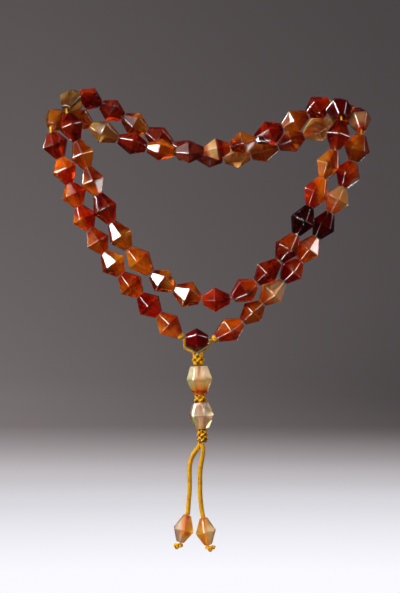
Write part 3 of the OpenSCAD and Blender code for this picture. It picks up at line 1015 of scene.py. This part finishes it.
def stones_piece(name, parts, materials, node):
    piece = parts.build(name, *materials)
    weight = piece.modifiers.new("weighted normals", "WEIGHTED_NORMAL")
    weight.mode = "FACE_AREA"
    weight.weight = 50
    finish_piece(piece, node)


stones_piece("first_turn_stones", turns["first_turn_beads"], string_agate,
             "first_turn_beads")
stones_piece("second_turn_stones", turns["second_turn_beads"], string_agate,
             "second_turn_beads")


# Thread and collars

COLLAR_ROOM = 2.4 * MM  # from a stone beside the guru bead to where the thread bends
GURU_CLEAR = np.array((0.15, 0, 0)) * MM  # how far from the guru bead's mouths the thread bends


def way_through(cut):
    return (cut.end - cut.start) / np.linalg.norm(cut.end - cut.start)


# The thread runs through each stone in turn, through both collars and through the guru bead
first, last = string[0], string[-1]
first_way, last_way = way_through(first), way_through(last)
thread_route = [p for cut in string for p in (cut.start, cut.end)]
thread_route += [last.end + last_way * COLLAR_ROOM, guru_cut.end + GURU_CLEAR,
                 guru_cut.start - GURU_CLEAR, first.start - first_way * COLLAR_ROOM]
thread_line = resample(thread_route, spacing=0.6 * MM, closed=True)
thread_parts = MeshParts()
ply_cord(thread_parts, thread_line, THREAD_W, plies=3, pitch=3.4 * MM, closed=True)
silk_piece("string_silk", thread_parts, "string_thread")


def collar(name, node, face, way):
    """Silk wound round the thread in 3.4 turns over a plain core, from the face of a stone."""
    wraps = 3.4
    steps = 28  # a turn
    wrap_r = 0.36 * MM
    outer = 2.0 * MM
    bulge = 0.08  # how much less the winding reaches at its ends, as a share
    length = 2.1 * MM
    clear = 0.15 * MM  # from the stone's face to the winding
    side = np.cross(way, (0, 1, 0))
    side /= np.linalg.norm(side)
    up = np.cross(way, side)
    line = []
    for k in range(int(wraps * steps) + 1):
        a = 2 * math.pi * k / steps
        t = k / (wraps * steps)
        reach = (outer - wrap_r) * (1 - bulge + bulge * math.sin(math.pi * t))
        line.append(face + way * (clear + wrap_r + (length - 2 * wrap_r) * t)
                    + reach * (math.cos(a) * side + math.sin(a) * up))
    parts = MeshParts()
    sweep(parts, line, radius=wrap_r * 1.05, sides=10)
    core = [face + way * (2 * clear + (length - 2 * clear) * k / 5) for k in range(6)]
    sweep(parts, core, radius=outer - 1.7 * wrap_r, sides=20)
    silk_piece(name, parts, node)


collar("left_wrap", "left_collar", first.start, -first_way)
collar("right_wrap", "right_collar", last.end, last_way)


# Guru bead

dark_agate = agate_material("dark_agate", clear=0.3, absorb=(0.7, 0.08, 0.06), density=60)
guru_parts = MeshParts()
guru_tones = {"tone_dark": [(0, (0.09, 0.0002, 0.0006))],
              "tone_light": [(0, (0.2, 0.0006, 0.001))]}
add_stone(guru_parts, guru_cut, random_stones, wear=0.5 * MM, tones=guru_tones,
          waviness=0.07 * MM)
stones_piece("guru_stone", guru_parts, [dark_agate], "guru_bead")


# Barrel beads and end beads

PALE_GLOW_AND_TONE_SHARE = 2.2  # how much more a pale stone's light tone, partly its own and partly a painted glow, keeps to its side
CREAM = (0.90, 0.72, 0.48)
CLEAR = (0.80, 0.66, 0.48)
AMBER = (0.98, 0.58, 0.07)
RUST = (0.50, 0.04, 0.001)

pale_agate = agate_material("pale_agate", clear=0.8, absorb=(0.97, 0.88, 0.70), density=25,
                            scatter=2 * MM)


def pale_stone(name, node, wear, side, dark, light):
    """A pale stone hung upright. side is the key of the side where its own lighter tone and a
    painted glow gather, and dark and light are its two tones by place from its top down."""
    cut = cuts_of(node)[0]
    if cut.start[2] < cut.end[2]:
        cut.turned()
    parts = MeshParts()
    add_stone(parts, cut, random_stones, wear, {"tone_dark": dark, "tone_light": light},
              glow_and_tone_side(side) * PALE_GLOW_AND_TONE_SHARE)
    stones_piece(name, parts, [pale_agate], node)
    return cut


pale_stone("upper_barrel_stone", "upper_barrel_bead", wear=0.35 * MM, side=4,
           dark=[(0, (0.68, 0.50, 0.30)), (0.35, (0.84, 0.66, 0.40)), (0.6, (0.97, 0.74, 0.32)),
                 (0.76, AMBER), (0.86, RUST), (1, (0.8, 0.25, 0.03))],
           light=[(0, (0.68, 0.54, 0.36)), (0.35, CREAM), (0.62, (0.98, 0.78, 0.42)),
                  (0.8, AMBER), (0.88, RUST), (1, AMBER)])
pale_stone("lower_barrel_stone", "lower_barrel_bead", wear=0.35 * MM, side=6,
           dark=[(0, (0.54, 0.34, 0.16)), (0.5, (0.70, 0.52, 0.33)), (1, (0.78, 0.60, 0.38))],
           light=[(0, (0.52, 0.40, 0.28)), (0.5, (0.72, 0.59, 0.42)), (1, CLEAR)])
left_end = pale_stone("left_end_stone", "left_end_bead", wear=0.4 * MM, side=4,
                      dark=[(0, (0.62, 0.16, 0.005)), (0.3, (0.86, 0.36, 0.01))],
                      light=[(0, (0.72, 0.52, 0.22)), (0.3, (0.78, 0.68, 0.54))])
right_end = pale_stone("right_end_stone", "right_end_bead", wear=0.4 * MM, side=6,
                       dark=[(0, (0.80, 0.32, 0.015)), (0.4, (0.88, 0.46, 0.06))],
                       light=[(0, (0.82, 0.46, 0.10)), (0.4, (0.92, 0.80, 0.54))])


# Knots under the end beads

# Lobes as in the part's source: centre and radius, in millimetres
END_LOBES = {
    "left": [((-12.7, -8, -216.7), 1.29), ((-14.6, -8, -217), 1.7)],
    "right": [((0.3, -8, -217.7), 0.99), ((2.1, -8, -218.3), 1.7), ((3.7, -8, -217.6), 1.19)],
}
END_STEM_W = 1.2 * MM


def trefoil(centre, reach, tilt):
    """A small tight knot of one cord, as the points of a closed line."""
    steps = 72
    flatness = 1.6
    turn = Matrix.Rotation(tilt, 3, "X")
    line = []
    for k in range(steps):
        t = 2 * math.pi * k / steps
        p = Vector((math.sin(t) + 2 * math.sin(2 * t), math.cos(t) - 2 * math.cos(2 * t),
                    -flatness * math.sin(3 * t))) / 3
        line.append(np.array(centre + turn @ p * reach))
    return line


def end_tie(side, cut):
    """A knot for each lobe under an end bead, and the stem that runs up through the bead."""
    cord_share = 0.42  # radius of a knot's cord, as a share of its lobe's
    parts = MeshParts()
    for i, (centre, radius) in enumerate(END_LOBES[side]):
        cord_r = radius * cord_share * MM
        line = trefoil(Vector(centre) * MM, radius * MM - cord_r, tilt=0.5 + i)
        sweep(parts, line, cord_r, sides=10, closed=True)
    foot = Vector(END_LOBES[side][0][0]) * MM
    stem = resample([cut.start, cut.end, foot], spacing=0.4 * MM)
    ply_cord(parts, stem, END_STEM_W, plies=3, pitch=3 * MM)
    return silk_piece(f"{side}_end_tie", parts, f"{side}_end_knot")


left_tie = end_tie("left", left_end)
right_tie = end_tie("right", right_end)


# Studio

backdrop()
studio()
